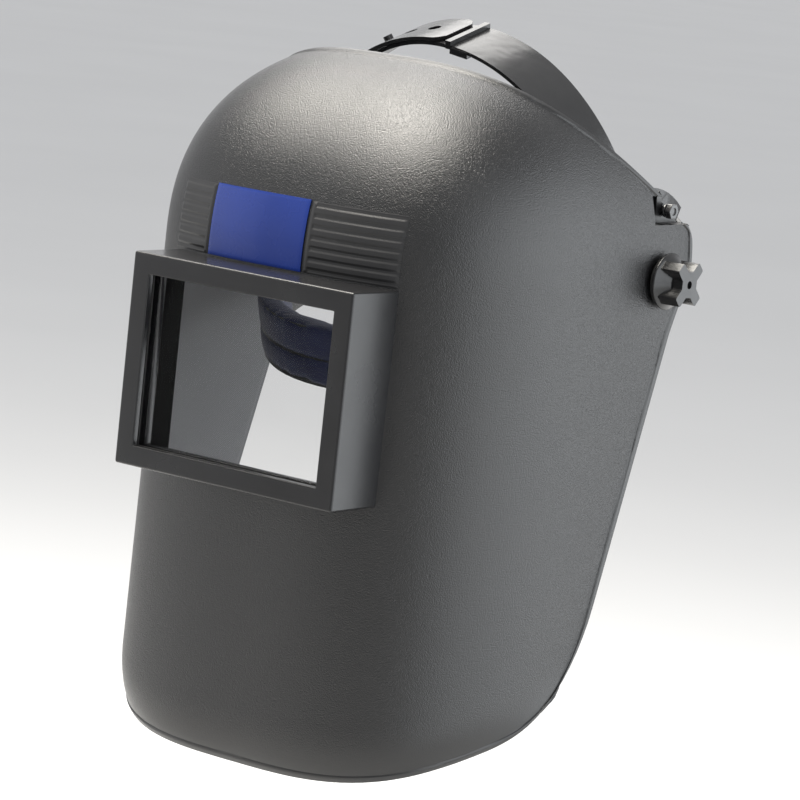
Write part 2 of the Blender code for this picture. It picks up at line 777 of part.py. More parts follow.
def pinion_outline():
    points = []
    for i in range(PINION_TEETH):
        middle = 2 * math.pi * (i + 0.5) / PINION_TEETH
        for spread, radius in ((-0.15, 4.8), (-0.055, 6.8), (0.055, 6.8), (0.15, 4.8)):
            angle = middle + spread
            r = radius * MM
            points.append((r * math.cos(angle), BAND_CENTRE.z + r * math.sin(angle)))
    return points


def lobed_outline(radius, depth, lobes, steps):
    points = []
    for i in range(steps):
        angle = 2 * math.pi * i / steps
        r = radius - depth * (0.5 + 0.5 * math.cos(lobes * angle))
        points.append((r * math.cos(angle), BAND_CENTRE.z + r * math.sin(angle)))
    return points


def make_ratchet(slide, spin, materials):
    """Housing in two halves round the crossed racks, with the pinion and its knob."""
    half_x, half_z = HOUSING_HALF
    z = BAND_CENTRE.z
    spans = {
        "housing_front": (RACK_Y - CHANNEL_HALF - HOUSING_SKIN, RACK_Y - GAP / 2),
        "housing_rear": (RACK_Y + GAP / 2, RACK_Y + CHANNEL_HALF + HOUSING_SKIN),
    }
    for name, (low, high) in spans.items():
        tray = part(name, box((-half_x, low, z - half_z), (half_x, high, z + half_z)), slide,
                    materials["satin_black"])
        channel = box((-40 * MM, RACK_Y - CHANNEL_HALF, z - half_z + 2.4 * MM),
                      (40 * MM, RACK_Y + CHANNEL_HALF, z + half_z - 2.4 * MM))
        combine(tray, cutter(f"{name}_channel", channel, slide))
        bore = cylinder((0, RACK_Y, z), (0, RACK_Y + 12 * MM, z), 3.9 * MM, segments=24)
        combine(tray, cutter(f"{name}_bore", bore, slide))
    pinion = part(
        "ratchet_pinion",
        prism(pinion_outline(), RACK_Y - CHANNEL_HALF + GAP, RACK_Y + CHANNEL_HALF - GAP, "Y"),
        spin,
        materials["nylon"],
        (0, 0, z),
    )
    knob_start = RACK_Y + CHANNEL_HALF + HOUSING_SKIN + 2 * GAP
    shaft = cylinder((0, RACK_Y, z), (0, knob_start - GAP, z), 3.5 * MM, segments=24)
    combine(pinion, cutter("pinion_shaft", shaft, spin, (0, 0, z)), "UNION")
    knob = part("ratchet_knob", prism(lobed_outline(16.5 * MM, 1.6 * MM, 12, 96), knob_start,
                                      knob_start + 11 * MM, "Y"),
                spin, materials["satin_black"], (0, 0, z))
    recess = cylinder((0, knob_start + 8 * MM, z), (0, knob_start + 14 * MM, z), 9 * MM, 11 * MM)
    combine(knob, cutter("knob_recess", recess, spin, (0, 0, z)))
    screw_start = knob_start + 8 * MM + GAP
    screw = turned(
        [(0, 0), (0, 3.6 * MM), (1.2 * MM, 3.4 * MM), (2.2 * MM, 2 * MM), (2.2 * MM, 0)],
        (0, screw_start, z),
        (0, 1, 0),
        segments=24,
    )
    part("ratchet_screw", screw, spin, materials["zinc"], (0, 0, z))
    pad_path = [band_point((STRAP_HALF[0] - 9.5 * MM, STRAP_HALF[1] - 12.8 * MM), a)
                for a in sweep_angles(160, 200, 12)]
    pad = part("nape_pad", strip(pad_path, z - 15 * MM, z + 15 * MM), slide, materials["foam"])
    thicken(pad, 6 * MM)


def star_outline(radius, waist, steps=64):
    """Four rounded arms at 45 degrees with hollows between them."""
    points = []
    for i in range(steps):
        angle = 2 * math.pi * i / steps
        bulge = (0.5 - 0.5 * math.cos(4 * angle)) ** 1.5
        r = waist + (radius - waist) * bulge
        points.append((PIVOT.y + r * math.cos(angle), PIVOT.z + r * math.sin(angle)))
    return points


def make_tilt_knob(side, frame, materials):
    """Washer, conical skirt with a four-armed grip, and the nut moulded into it."""
    name = side_name(side)
    axis = (side, 0, 0)
    base = side * KNOB_BASE
    top = side * (KNOB_BASE + KNOB_LENGTH)
    offset = PIVOT
    washer = side_ring(side * WASHER_INNER, side * (WASHER_INNER + 1.5 * MM), PIVOT.y, PIVOT.z,
                       10.5 * MM, 3.4 * MM)
    part(f"knob_washer_{name}", washer, frame, materials["rubber"], offset)
    skirt = turned(
        [(0, 0), (0, 12 * MM), (1.2 * MM, 12 * MM), (5 * MM, 6.5 * MM), (5 * MM, 0)],
        (base, PIVOT.y, PIVOT.z),
        axis,
        segments=48,
    )
    knob = part(f"tilt_knob_{name}", skirt, frame, materials["satin_black"], offset)
    low, high = sorted((side * (KNOB_BASE + 1.5 * MM), top))
    grip = prism(star_outline(10.8 * MM, 5.2 * MM), low, high)
    combine(knob, cutter(f"knob_grip_{name}", grip, frame, offset), "UNION")
    bore_profile = [(0, 0), (0, 3.4), (7, 3.4), (7, 4.6), (12.4, 4.6), (12.4, 1.8), (20, 1.8), (20, 0)]
    bore = turned(
        [(along * MM, radius * MM) for along, radius in bore_profile],
        (side * 98 * MM, PIVOT.y, PIVOT.z),
        axis,
        segments=24,
    )
    combine(knob, cutter(f"knob_bore_{name}", bore, frame, offset))
    nut = side_ring(side * 105.3 * MM, side * 110.1 * MM, PIVOT.y, PIVOT.z, 4.3 * MM, 3.3 * MM, 24)
    part(f"knob_nut_{name}", nut, frame, materials["brass"], offset)


def build():
    materials = {
        "shell_black": finish("shell_black", (0.03, 0.031, 0.033), 0.45),
        "gloss_black": finish("gloss_black", (0.014, 0.014, 0.015), 0.2),
        "satin_black": finish("satin_black", (0.018, 0.018, 0.019), 0.35),
        "rubber": finish("rubber", (0.02, 0.02, 0.02), 0.8),
        "clear": finish("clear", (0.95, 0.97, 0.97), 0.05, alpha=0.25),
        "label_blue": finish("label_blue", (0.01, 0.025, 0.22), 0.25),
        "peg": finish("peg", (0.05, 0.05, 0.052), 0.3),
        "zinc": finish("zinc", (0.6, 0.6, 0.6), 0.35, 1.0),
        "brass": finish("brass", (0.72, 0.5, 0.2), 0.3, 1.0),
        "nylon": finish("nylon", (0.55, 0.54, 0.5), 0.5),
        "navy_pad": finish("navy_pad", (0.012, 0.018, 0.07), 0.8),
        "foam": finish("foam", (0.02, 0.02, 0.022), 0.9),
    }
    headgear = frame_at("headgear", PIVOT, tilt=HEADGEAR_TILT)
    tilting = frame_at("tilting_shell", PIVOT)
    make_shell(tilting, materials["shell_black"])
    make_window(tilting, materials)
    make_label(tilting, materials["label_blue"])
    make_limit_plates(tilting, materials)
    make_headband(headgear, materials)
    make_sweatband(headgear, materials["navy_pad"])
    make_pivots(headgear, materials)
    make_crown(headgear, materials)
    make_temple_rivets(headgear, materials["satin_black"])
    flex = {
        side: frame_at(f"flex_{side_name(side)}",
                       (side * TEMPLE.x, TEMPLE.y, TEMPLE.z), headgear)
        for side in (1, -1)
    }
    make_rear_straps(flex, materials)
    slide = frame_at("nape_slide", (0, 0, 0), headgear)
    spin = frame_at("ratchet_spin", (0, 0, BAND_CENTRE.z), slide)
    make_ratchet(slide, spin, materials)
    for side in (1, -1):
        name = side_name(side)
        make_tilt_knob(side, frame_at(f"knob_axis_{name}", PIVOT), materials)


build()
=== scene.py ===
import math

import bmesh
import bpy
from mathutils import Matrix, Vector


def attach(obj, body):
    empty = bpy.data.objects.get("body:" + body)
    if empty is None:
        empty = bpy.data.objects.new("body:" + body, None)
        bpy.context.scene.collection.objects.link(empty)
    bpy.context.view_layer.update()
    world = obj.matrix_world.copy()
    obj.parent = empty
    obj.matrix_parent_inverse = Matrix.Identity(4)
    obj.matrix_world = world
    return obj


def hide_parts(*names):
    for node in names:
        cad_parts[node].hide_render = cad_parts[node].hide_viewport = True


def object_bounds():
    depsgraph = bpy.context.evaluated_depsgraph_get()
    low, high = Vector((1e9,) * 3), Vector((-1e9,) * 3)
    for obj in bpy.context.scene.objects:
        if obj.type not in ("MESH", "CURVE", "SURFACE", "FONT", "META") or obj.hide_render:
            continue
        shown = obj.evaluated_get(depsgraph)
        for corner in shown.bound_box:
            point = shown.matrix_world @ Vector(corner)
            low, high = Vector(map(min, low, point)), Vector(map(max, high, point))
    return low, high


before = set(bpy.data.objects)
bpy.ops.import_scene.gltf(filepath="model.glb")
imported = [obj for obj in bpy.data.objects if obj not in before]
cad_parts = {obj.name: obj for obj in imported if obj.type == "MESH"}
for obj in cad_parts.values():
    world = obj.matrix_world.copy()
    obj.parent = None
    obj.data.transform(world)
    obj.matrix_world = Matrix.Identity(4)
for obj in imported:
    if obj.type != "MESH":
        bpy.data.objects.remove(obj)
cad_low, cad_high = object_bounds()


# Shell. One thermoplastic moulding 2.5 mm thick, pebble-grained outside and woven-grained inside,
# smooth where it curls in at the chin, with a smooth bead along its whole edge. The knobs clamp it
# to the headgear at two lugs, each with a recessed flat for the peg of the stop plate.
MM = 0.001


class Socket:
    """A shader socket that Python's operators can work on."""

    def __init__(self, tree, plug):
        self.tree = tree
        self.plug = plug

    def node(self, kind, settings, values, output=0):
        """Adds a node: its settings first, then a number or a link for each of its inputs."""
        made = self.tree.nodes.new("ShaderNode" + kind)
        for name, setting in settings.items():
            setattr(made, name, setting)
        for name, value in values.items():
            if isinstance(value, Socket):
                self.tree.links.new(value.plug, made.inputs[name])
            else:
                made.inputs[name].default_value = value
        return Socket(self.tree, made.outputs[output])

    def math(self, operation, *others):
        return self.node("Math", {"operation": operation}, dict(enumerate((self, *others))))

    def __add__(self, other):
        return self.math("ADD", other)

    __radd__ = __add__

    def __mul__(self, other):
        return self.math("MULTIPLY", other)

    __rmul__ = __mul__

    def __sub__(self, other):
        return self.math("SUBTRACT", other)

    def __rsub__(self, other):
        return self.math("MULTIPLY_ADD", -1, other)

    def part(self, axis):
        return self.node("SeparateXYZ", {}, {0: self}, "XYZ".index(axis))

    def ease(self, low, high):
        """0 below low, 1 above high, and smooth between them."""
        limits = {"Value": self, "From Min": low, "From Max": high}
        return self.node("MapRange", {"interpolation_type": "SMOOTHSTEP"}, limits)

    def noise(self, scale, detail=2, roughness=0.5):
        return self.node("TexNoise", {}, {"Vector": self, "Scale": scale, "Detail": detail,
                                          "Roughness": roughness})

    def between(self, first, second):
        """The colour this far from the first to the second."""
        return self.node("Mix", {"data_type": "RGBA"}, {0: self, 6: (*first, 1), 7: (*second, 1)}, 2)

    def bump(self, depth, strength=1):
        return self.node("Bump", {}, {"Height": self, "Distance": depth, "Strength": strength})


def new_finish(name, **fixed):
    """A material with its fixed values set, and the socket of the place on the object."""
    material = bpy.data.materials.new(name)
    material.use_nodes = True
    tree = material.node_tree
    shader = tree.nodes["Principled BSDF"]
    for socket, value in fixed.items():
        shader.inputs[socket.replace("_", " ")].default_value = value
    place = Socket(tree, tree.nodes.new("ShaderNodeTexCoord").outputs["Object"])

    def feed(**varying):
        for socket, value in varying.items():
            tree.links.new(value.plug, shader.inputs[socket.replace("_", " ")])
        return material

    return place, feed


def make_piece(name, bm, *materials):
    mesh = bpy.data.meshes.new(name)
    bm.to_mesh(mesh)
    bm.free()
    piece = bpy.data.objects.new(name, mesh)
    bpy.context.scene.collection.objects.link(piece)
    for material in materials:
        mesh.materials.append(material)
    return piece


def settle(piece, sharp=30):
    """Applies the modifiers, then shades smooth except across sharp edges."""
    graph = bpy.context.evaluated_depsgraph_get()
    done = bpy.data.meshes.new_from_object(piece.evaluated_get(graph))
    piece.modifiers.clear()
    piece.data = done
    done.shade_smooth()
    done.set_sharp_from_angle(angle=math.radians(sharp))
    return piece


def combine(piece, bm, operation="DIFFERENCE", solver="EXACT"):
    """Cuts the closed shape out of the piece, or welds it on."""
    bmesh.ops.recalc_face_normals(bm, faces=bm.faces)
    tool = make_piece("tool", bm)
    step = piece.modifiers.new("step", "BOOLEAN")
    step.operation = operation
    step.solver = solver
    step.object = tool
    settle(piece)
    bpy.data.objects.remove(tool, do_unlink=True)
    return piece


def block(low, high, bm=None):
    bm = bm or bmesh.new()
    low, high = Vector(low), Vector(high)
    place = Matrix.Translation((low + high) / 2) @ Matrix.Diagonal((*map(abs, high - low), 1))
    bmesh.ops.create_cube(bm, size=1, matrix=place)
    return bm


def rod(start, end, radius, segments=32, bm=None):
    bm = bm or bmesh.new()
    start, end = Vector(start), Vector(end)
    turn = Vector((0, 0, 1)).rotation_difference(end - start).to_matrix().to_4x4()
    bmesh.ops.create_cone(bm, cap_ends=True, segments=segments, radius1=radius, radius2=radius,
                          depth=(end - start).length,
                          matrix=Matrix.Translation((start + end) / 2) @ turn)
    return bm


def mount(piece, body, slot, *replaced):
    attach(piece, body)
    if replaced:
        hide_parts(*replaced)
    return piece


HALF_WIDTH, DEPTH, PLAN_CENTRE = 100 * MM, 120.2 * MM, -18 * MM
SHOULDER, RISE = 12.2 * MM, 94.4 * MM
PLAN_POWER, RISE_POWER, FLARE = 3.1, 2.44, 0.06
WALL = 2.5 * MM
PIVOT = Vector((0, -5.5, 18)) * MM


def clamped(share):
    return min(max(share, 0), 1)


def eased(share):
    return share * share * (3 - 2 * share)


def quarter_plan(samples=400):
    """Half the front of the plan in equal steps of length, as unit (x, y), and its full length."""
    points = []
    for i in range(samples + 1):
        angle = math.pi / 2 * i / samples
        points.append(Vector((math.sin(angle) ** (2 / PLAN_POWER), math.cos(angle) ** (2 / PLAN_POWER))))
    lengths = [0]
    for one, two in zip(points, points[1:]):
        step = (two.x - one.x) * HALF_WIDTH, (two.y - one.y) * DEPTH
        lengths.append(lengths[-1] + math.hypot(*step))
    even = []
    j = 0
    for i in range(samples + 1):
        target = lengths[-1] * i / samples
        while j < samples - 1 and lengths[j + 1] < target:
            j += 1
        share = (target - lengths[j]) / (lengths[j + 1] - lengths[j])
        even.append(points[j].lerp(points[j + 1], clamped(share)))
    return even, lengths[-1]


PLAN, PLAN_LENGTH = quarter_plan()


def plan_share(height):
    if height <= SHOULDER:
        return 1 + FLARE * (SHOULDER - height)
    share = min((height - SHOULDER) / RISE, 0.9999)
    return (1 - share ** RISE_POWER) ** (1 / RISE_POWER)


def chin_height(y):
    return -195.6 * MM + 0.385 * (y + 137 * MM)


def rim_height(y):
    return 99.2 * MM - 0.65 * (y + 77.6 * MM)


def curled(point):
    """Draws the skin in just above the chin's edge, most at the front."""
    share = max(1 - max(point.z - chin_height(point.y), 0) / (24 * MM), 0)
    front = eased(clamped((-55 * MM - point.y) / (60 * MM)))
    inward = Vector((-point.x, PLAN_CENTRE - point.y, 0)).normalized()
    return point + inward * 9 * MM * (1 - math.sqrt(1 - 0.98 * share * share)) * front


def skin(along, height):
    """A point of the outer face: along is 0 at the middle of the front and 1 at the widest place."""
    share = plan_share(height)
    if along >= 1:
        return Vector((HALF_WIDTH * share, PLAN_CENTRE + (along - 1) * PLAN_LENGTH, height))
    step = along * (len(PLAN) - 1)
    unit = PLAN[int(step)].lerp(PLAN[min(int(step) + 1, len(PLAN) - 1)], step % 1)
    return curled(Vector((HALF_WIDTH * share * unit.x, PLAN_CENTRE - DEPTH * share * unit.y, height)))


def along_at(y, height):
    """Where the skin at this height reaches y."""
    low, high = 0, 2
    for _ in range(40):
        middle = (low + high) / 2
        low, high = (middle, high) if skin(middle, height).y < y else (low, middle)
    return low


def height_on(line, along):
    """Where the skin at this place crosses a slanting line of the side view."""
    low, high = -240 * MM, SHOULDER + RISE * 0.999
    for _ in range(40):
        middle = (low + high) / 2
        low, high = (middle, high) if middle < line(skin(along, middle).y) else (low, middle)
    return low


def rounded(corners, steps):
    """The (y, z, radius) corners joined by straight lines, each corner an arc."""
    points = []
    for before, corner, after in zip(corners, corners[1:], corners[2:]):
        here = Vector(corner[:2])
        back = (Vector(before[:2]) - here).normalized()
        ahead = (Vector(after[:2]) - here).normalized()
        half = back.angle(ahead) / 2
        reach = corner[2] / math.tan(half)
        centre = here + (back + ahead).normalized() * corner[2] / math.sin(half)
        turn = math.pi - 2 * half
        if back.x * ahead.y - back.y * ahead.x > 0:
            turn = -turn
        for step in range(steps + 1):
            arm = Matrix.Rotation(turn * step / steps, 2) @ (here + back * reach - centre)
            points.append(centre + arm)
    return points


def edge_y(height):
    return 4.7 * MM + 0.31 * height


def bent(line, arc):
    """A line of the side view that ends in half of a corner's arc."""
    def height(y):
        if y <= arc[0].x:
            return line(y)
        one, two = next((pair for pair in zip(arc, arc[1:]) if y <= pair[1].x), arc[-2:])
        return one.y + (two.y - one.y) * (y - one.x) / (two.x - one.x)
    return height


side_view = rounded(
    [
        (-200 * MM, chin_height(-200 * MM), 0),
        (edge_y(-160.3 * MM), -160.3 * MM, 90 * MM),
        (edge_y(-5 * MM), -5 * MM, 40 * MM),
        (15 * MM, 22 * MM, 18 * MM),
        (15 * MM, rim_height(15 * MM), 12 * MM),
        (-200 * MM, rim_height(-200 * MM), 0),
    ],
    12,
)
rear_edge = [(along_at(y, z), z) for y, z in side_view[6:-6]]
rear_lengths = [0]
for one, two in zip(rear_edge, rear_edge[1:]):
    rear_lengths.append(rear_lengths[-1] + (skin(*two) - skin(*one)).length)


def rear_at(share):
    target = share * rear_lengths[-1]
    i = max(j for j in range(len(rear_lengths) - 1) if rear_lengths[j] <= target + 1e-9)
    part = (target - rear_lengths[i]) / (rear_lengths[i + 1] - rear_lengths[i])
    (a, z), (b, w) = rear_edge[i], rear_edge[i + 1]
    return a + (b - a) * part, z + (w - z) * part


ACROSS, UP = 96, 150


def edge_heights(line, end):
    """The heights of an edge of the shell, in equal steps from the middle of the front to its end."""
    return [height_on(line, i / ACROSS * end) for i in range(ACROSS + 1)]


chin_line = edge_heights(bent(chin_height, side_view[:7]), rear_at(0)[0])
rim_line = edge_heights(bent(rim_height, side_view[:-8:-1]), rear_at(1)[0])


def line_at(line, share):
    step = min(share * ACROSS, ACROSS - 1e-6)
    return line[int(step)] + (line[int(step) + 1] - line[int(step)]) * (step % 1)


def shell_point(u, v):
    """The patch that fills the shell's edge: u runs from the front to the rear, v from chin to rim."""
    along, rear_height = rear_at(v)
    height = (1 - v) * line_at(chin_line, u) + v * line_at(rim_line, u)
    front = (1 - v) * chin_line[0] + v * rim_line[0]
    corners = (1 - u) * front + u * ((1 - v) * rear_edge[0][1] + v * rear_edge[-1][1])
    return skin(u * along, height + (1 - u) * front + u * rear_height - corners)


bm = bmesh.new()
grain = bm.verts.layers.float.new("grain")
bmesh.ops.create_grid(bm, x_segments=2 * ACROSS, y_segments=UP, size=1)
rows = {}
for vert in bm.verts:
    column, row = round((vert.co.x + 1) * ACROSS), round((vert.co.y + 1) * UP / 2)
    rows[column, row] = vert
    u = vert.co.x + 0.24 * math.sin(math.pi * vert.co.x)
    v = row / UP - 0.12 * math.sin(2 * math.pi * row / UP)
    point = shell_point(min(abs(u), 1), clamped(v))
    vert.co = (math.copysign(point.x, u), point.y, point.z)
bmesh.ops.recalc_face_normals(bm, faces=bm.faces)
if rows[ACROSS, UP // 2].normal.y > 0:
    bmesh.ops.reverse_faces(bm, faces=bm.faces)
bm.normal_update()
BEAD_WIDTH, BEAD_HEIGHT = 3.4 * MM, 0.6 * MM
from_edge = {key: 1.0 for key in rows}
walks = [[(i, j) for j in range(UP + 1)] for i in range(2 * ACROSS + 1)]
walks += [[(i, j) for i in range(2 * ACROSS + 1)] for j in range(UP + 1)]
for walk in walks:
    for way in (walk, walk[::-1]):
        gone = 0
        for i, key in enumerate(way):
            if i:
                gone += (rows[key].co - rows[way[i - 1]].co).length
            if gone > 8 * MM:
                break
            from_edge[key] = min(from_edge[key], gone)
lifts = []
for key, vert in rows.items():
    share = clamped((BEAD_WIDTH - from_edge[key]) / (0.9 * MM))
    lifts.append((vert, vert.normal * BEAD_HEIGHT * eased(share)))
    chin = clamped((vert.co.z - chin_height(vert.co.y) - 5 * MM) / (16 * MM))
    vert[grain] = (1 - share) * chin
for vert, lift in lifts:
    vert.co += lift
POCKET_Y, POCKET_Z, POCKET_TOP, POCKET_FLOOR = -12 * MM, 41.3 * MM, 52.4 * MM, 92.7 * MM
POCKET_DRAFT, LUG_X = 0.4 * MM, 85 * MM
for plane, normal in (
    ((0, POCKET_Y, 0), (0, 1, 0)),
    ((0, POCKET_Y - POCKET_DRAFT, 0), (0, 1, 0)),
    ((0, 0, POCKET_Z), (0, 0, 1)),
    ((0, 0, POCKET_Z - POCKET_DRAFT), (0, 0, 1)),
    ((0, 0, POCKET_TOP), (0, 0, 1)),
    ((0, 0, POCKET_TOP + POCKET_DRAFT), (0, 0, 1)),
):
    middles = {face: face.calc_center_median() for face in bm.faces}
    lug = [face for face, middle in middles.items()
           if abs(middle.x) > LUG_X and middle.y > -20 * MM and middle.z > 35 * MM]
    edges = {edge for face in lug for edge in face.edges}
    corners = {vert for face in lug for vert in face.verts}
    bmesh.ops.bisect_plane(bm, geom=[*corners, *edges, *lug], dist=1e-7,
                           plane_co=plane, plane_no=normal)
for vert in bm.verts:
    from_middle = abs(vert.co.z - (POCKET_Z + POCKET_TOP) / 2)
    in_pocket = vert.co.y > POCKET_Y - 0.01 * MM and from_middle < 5.56 * MM
    if abs(vert.co.x) > LUG_X and in_pocket:
        vert.co.x = math.copysign(POCKET_FLOOR, vert.co.x)
        vert[grain] = 0

place, feed = new_finish("pebbled_black", Specular_IOR_Level=0.5)
warp = place.node("TexNoise", {}, {"Vector": place, "Scale": 700, "Detail": 2}, 1)
bent_place = place.node("VectorMath", {"operation": "MULTIPLY_ADD"}, {0: warp, 1: (0.0009,) * 3, 2: place})
pebble = place.node("TexVoronoi", {"feature": "SMOOTH_F1"},
                    {"Vector": bent_place, "Scale": 1900, "Smoothness": 0.35})
shown = place.node("Attribute", {"attribute_name": "grain"}, {}, 2)
grained = (pebble * 1.3 + place.noise(2600, 1) * 0.6) * shown
patchy = place.noise(9, 3) * 0.6 + pebble * 0.5
pebbled_black = feed(
    Base_Color=patchy.between((0.0006, 0.0006, 0.0008), (0.003, 0.003, 0.0035)),
    Roughness=0.24 + place.noise(25, 3) * 0.08 + pebble * 0.16 - shown * 0.02,
    Normal=(1 - grained).bump(0.11 * MM, 1),
)

# Painted light: the inside of the shell is coloured grey, far lighter than the same black plastic outside,
# and lighter still on the raised threads of the moulded weave. This stands for the light that comes in
# through the open back.
place, feed = new_finish("woven_grain_inside_painted_light", Specular_IOR_Level=0.25)
THREAD = 6600
loose = place.noise(260, 2) * 5
along_wall = place.part("X").math("ABSOLUTE") + place.part("Y")
up_wall = place.part("Z") + place.part("Y") * 0.35
weave = (along_wall * THREAD + loose).math("SINE") * (up_wall * THREAD + loose).math("SINE")
woven_inside_painted_light = feed(
    Base_Color=weave.ease(-1, 1).between((0.05, 0.052, 0.056), (0.17, 0.172, 0.178)),
    Roughness=0.55 + place.noise(40, 2) * 0.15,
    Normal=weave.bump(0.25 * MM, 0.8),
)

shell = make_piece("helmet_shell", bm, pebbled_black, woven_inside_painted_light)
wall = shell.modifiers.new("wall", "SOLIDIFY")
wall.thickness = WALL
wall.offset = -1
wall.material_offset = 1
settle(shell, 40)
WINDOW_Z = -33.5 * MM
holes = block((-55.8 * MM, -170 * MM, WINDOW_Z - 43.2 * MM),
              (55.8 * MM, -100 * MM, WINDOW_Z + 43.2 * MM))
for side in (1, -1):
    for y, z, radius in ((PIVOT.y, PIVOT.z, 3.5 * MM), (0.1 * MM, 46.5 * MM, 2.4 * MM)):
        rod((side * 80 * MM, y, z), (side * 112 * MM, y, z), radius, 24, holes)
    block((side * 91.2 * MM, -9.2 * MM, POCKET_Z), (side * 94 * MM, -5.8 * MM, POCKET_TOP), holes)
combine(shell, holes, solver="MANIFOLD")
mount(shell, "shell", "shell_black", "shell")


# Brow ribs. Horizontal louvres moulded into the brow on each side of the badge.
# They are part of the shell's moulding, smooth and black.
def brow_patch(name, left, right, low, high, relief, columns, levels, *materials):
    """A patch that lies on the brow; relief gives how far it stands out at each share of it."""
    patch = bmesh.new()
    bmesh.ops.create_grid(patch, x_segments=columns, y_segments=levels, size=1)
    for vert in patch.verts:
        u, v = (vert.co.x + 1) / 2, (vert.co.y + 1) / 2
        x, height = left + (right - left) * u, low + (high - low) * v
        share = plan_share(height)
        reach = (1 - abs(x / (HALF_WIDTH * share)) ** PLAN_POWER) ** (1 / PLAN_POWER)
        slope = clamped((height - SHOULDER) / RISE)
        out = relief(u, v)
        vert.co = (x, PLAN_CENTRE - DEPTH * share * reach - out, height + out * slope * 0.5)
    bmesh.ops.recalc_face_normals(patch, faces=patch.faces)
    if sum(face.normal.y for face in patch.faces) > 0:
        bmesh.ops.reverse_faces(patch, faces=patch.faces)
    return make_piece(name, patch, *materials)


place, feed = new_finish("smooth_black", Specular_IOR_Level=0.4)
smooth_black = feed(
    Base_Color=place.noise(60, 3).between((0.006, 0.006, 0.0065), (0.012, 0.012, 0.013)),
    Roughness=0.33 + place.noise(35, 3) * 0.14,
    Normal=place.noise(900, 2).bump(0.02 * MM, 0.5),
)
PITCH, RIB_LOW, RIB_HIGH, MARGIN = 4.4 * MM, 11.5 * MM, 40.6 * MM, 1.2 * MM


def ribbed(left, right):
    """The relief of a patch: square-edged bars, with a smooth margin at the end by the badge."""
    inner = left if left > 0 else right
    width, height = right - left, RIB_HIGH - RIB_LOW

    def relief(u, v):
        from_badge = abs(left + width * u - inner)
        fade = min(min(u, 1 - u) * width / MARGIN, min(v, 1 - v) * height / MARGIN, 1)
        bar = ((1 - v) * height / PITCH + 0.02) % 1
        sunk = clamped(bar / 0.2) * clamped((0.6 - bar) / 0.2)
        sunk *= clamped((from_badge - 2 * MM) / (0.4 * MM))
        return (0.08 + (0.36 - 0.32 * sunk) * fade) * MM

    return relief


for name, left, right in (
    ("brow_ribs_left", 13 * MM, 56.5 * MM),
    ("brow_ribs_right", -60.5 * MM, -38.5 * MM),
):
    ribs = brow_patch(name, left, right, RIB_LOW, RIB_HIGH, ribbed(left, right), 110, 190, smooth_black)
    backing = ribs.modifiers.new("backing", "SOLIDIFY")
    backing.thickness = 1.2 * MM
    backing.offset = -1
    settle(ribs, 35)
    mount(ribs, "shell", "shell_black")


# Badge. A plain glossy blue vinyl sticker, stuck on the brow between the two columns of ribs. It
# is left blank, and its edges are pressed down on the moulding.
place, feed = new_finish("blue_vinyl", Specular_IOR_Level=0.3, Coat_Roughness=0.08)
blue_vinyl = feed(
    Base_Color=place.noise(30, 2).between((0.0015, 0.012, 0.1), (0.003, 0.02, 0.16)),
    Roughness=0.22 + place.noise(80, 3) * 0.1,
    Coat_Weight=0.1 + place.noise(20, 2) * 0.1,
    Normal=place.noise(140, 2).bump(0.03 * MM, 0.5),
)


def badge_relief(u, v):
    edge = min(u, 1 - u, v, 1 - v)
    return 0.65 * MM * min(max(edge / 0.012, 0.75), 1)


badge = brow_patch("badge", -38 * MM, 12 * MM, 11.6 * MM, 41 * MM, badge_relief, 60, 40, blue_vinyl)
film = badge.modifiers.new("film", "SOLIDIFY")
film.thickness = 0.4 * MM
film.offset = -1
settle(badge, 50)
mount(badge, "shell", "label_blue", "brow_label")


# Window box. A gloss black moulding that stands 30 mm out of the shell, with softened edges, and
# inside it the seat for a 108 x 83 mm lens. It stands over the opening in the shell.
place, feed = new_finish("gloss_black_box", Specular_IOR_Level=0.32)
smear = place.noise(28, 4, 0.6)
gloss_black = feed(
    Base_Color=smear.between((0.006, 0.006, 0.0065), (0.013, 0.013, 0.014)),
    Roughness=0.16 + smear * 0.2,
    Normal=(smear * 0.7 + place.noise(300, 2) * 0.15).bump(0.12 * MM, 0.6),
)


def window_block(width, height, front, back):
    return block((-width / 2, front, WINDOW_Z - height / 2), (width / 2, back, WINDOW_Z + height / 2))


# Painted shade: a near-black, barely reflecting copy of the box's gloss black, for the inner walls of the
# box, standing in for the shade inside it.
place, feed = new_finish("painted_shade_black", Specular_IOR_Level=0.02)
painted_shade_black = feed(
    Base_Color=place.noise(40, 2).between((0.001, 0.001, 0.001), (0.002, 0.002, 0.002)),
    Roughness=0.6 + place.noise(60, 2) * 0.1,
)


def round_edges(piece, width, segments, limit):
    """Bevels the edges sharper than the limit, in degrees."""
    bevel = piece.modifiers.new("edges", "BEVEL")
    bevel.width = width
    bevel.segments = segments
    bevel.limit_method = "ANGLE"
    bevel.angle_limit = math.radians(limit)
    return bevel


def crisp(piece):
    """Keeps the flats of a bevelled piece flat in the shading."""
    even = piece.modifiers.new("even", "WEIGHTED_NORMAL")
    even.keep_sharp = True
    even.weight = 100
    return piece


BOX_FRONT, BOX_BACK, SEAT = -160.8 * MM, -129.6 * MM, -157 * MM
window = make_piece("window_box", window_block(114 * MM, 88.4 * MM, BOX_FRONT, BOX_BACK),
                    gloss_black, painted_shade_black)
corner = window.modifiers.new("corners", "BEVEL")
corner.width = 1.1 * MM
corner.segments = 3
settle(window)
combine(window, window_block(111 * MM, 85.8 * MM, SEAT, -131 * MM), "UNION")
combine(window, window_block(108.4 * MM, 83.4 * MM, -157.8 * MM, -110 * MM))
combine(window, window_block(96 * MM, 71 * MM, -175 * MM, -150 * MM))
round_edges(window, 0.45 * MM, 2, 50)
settle(window, 45)
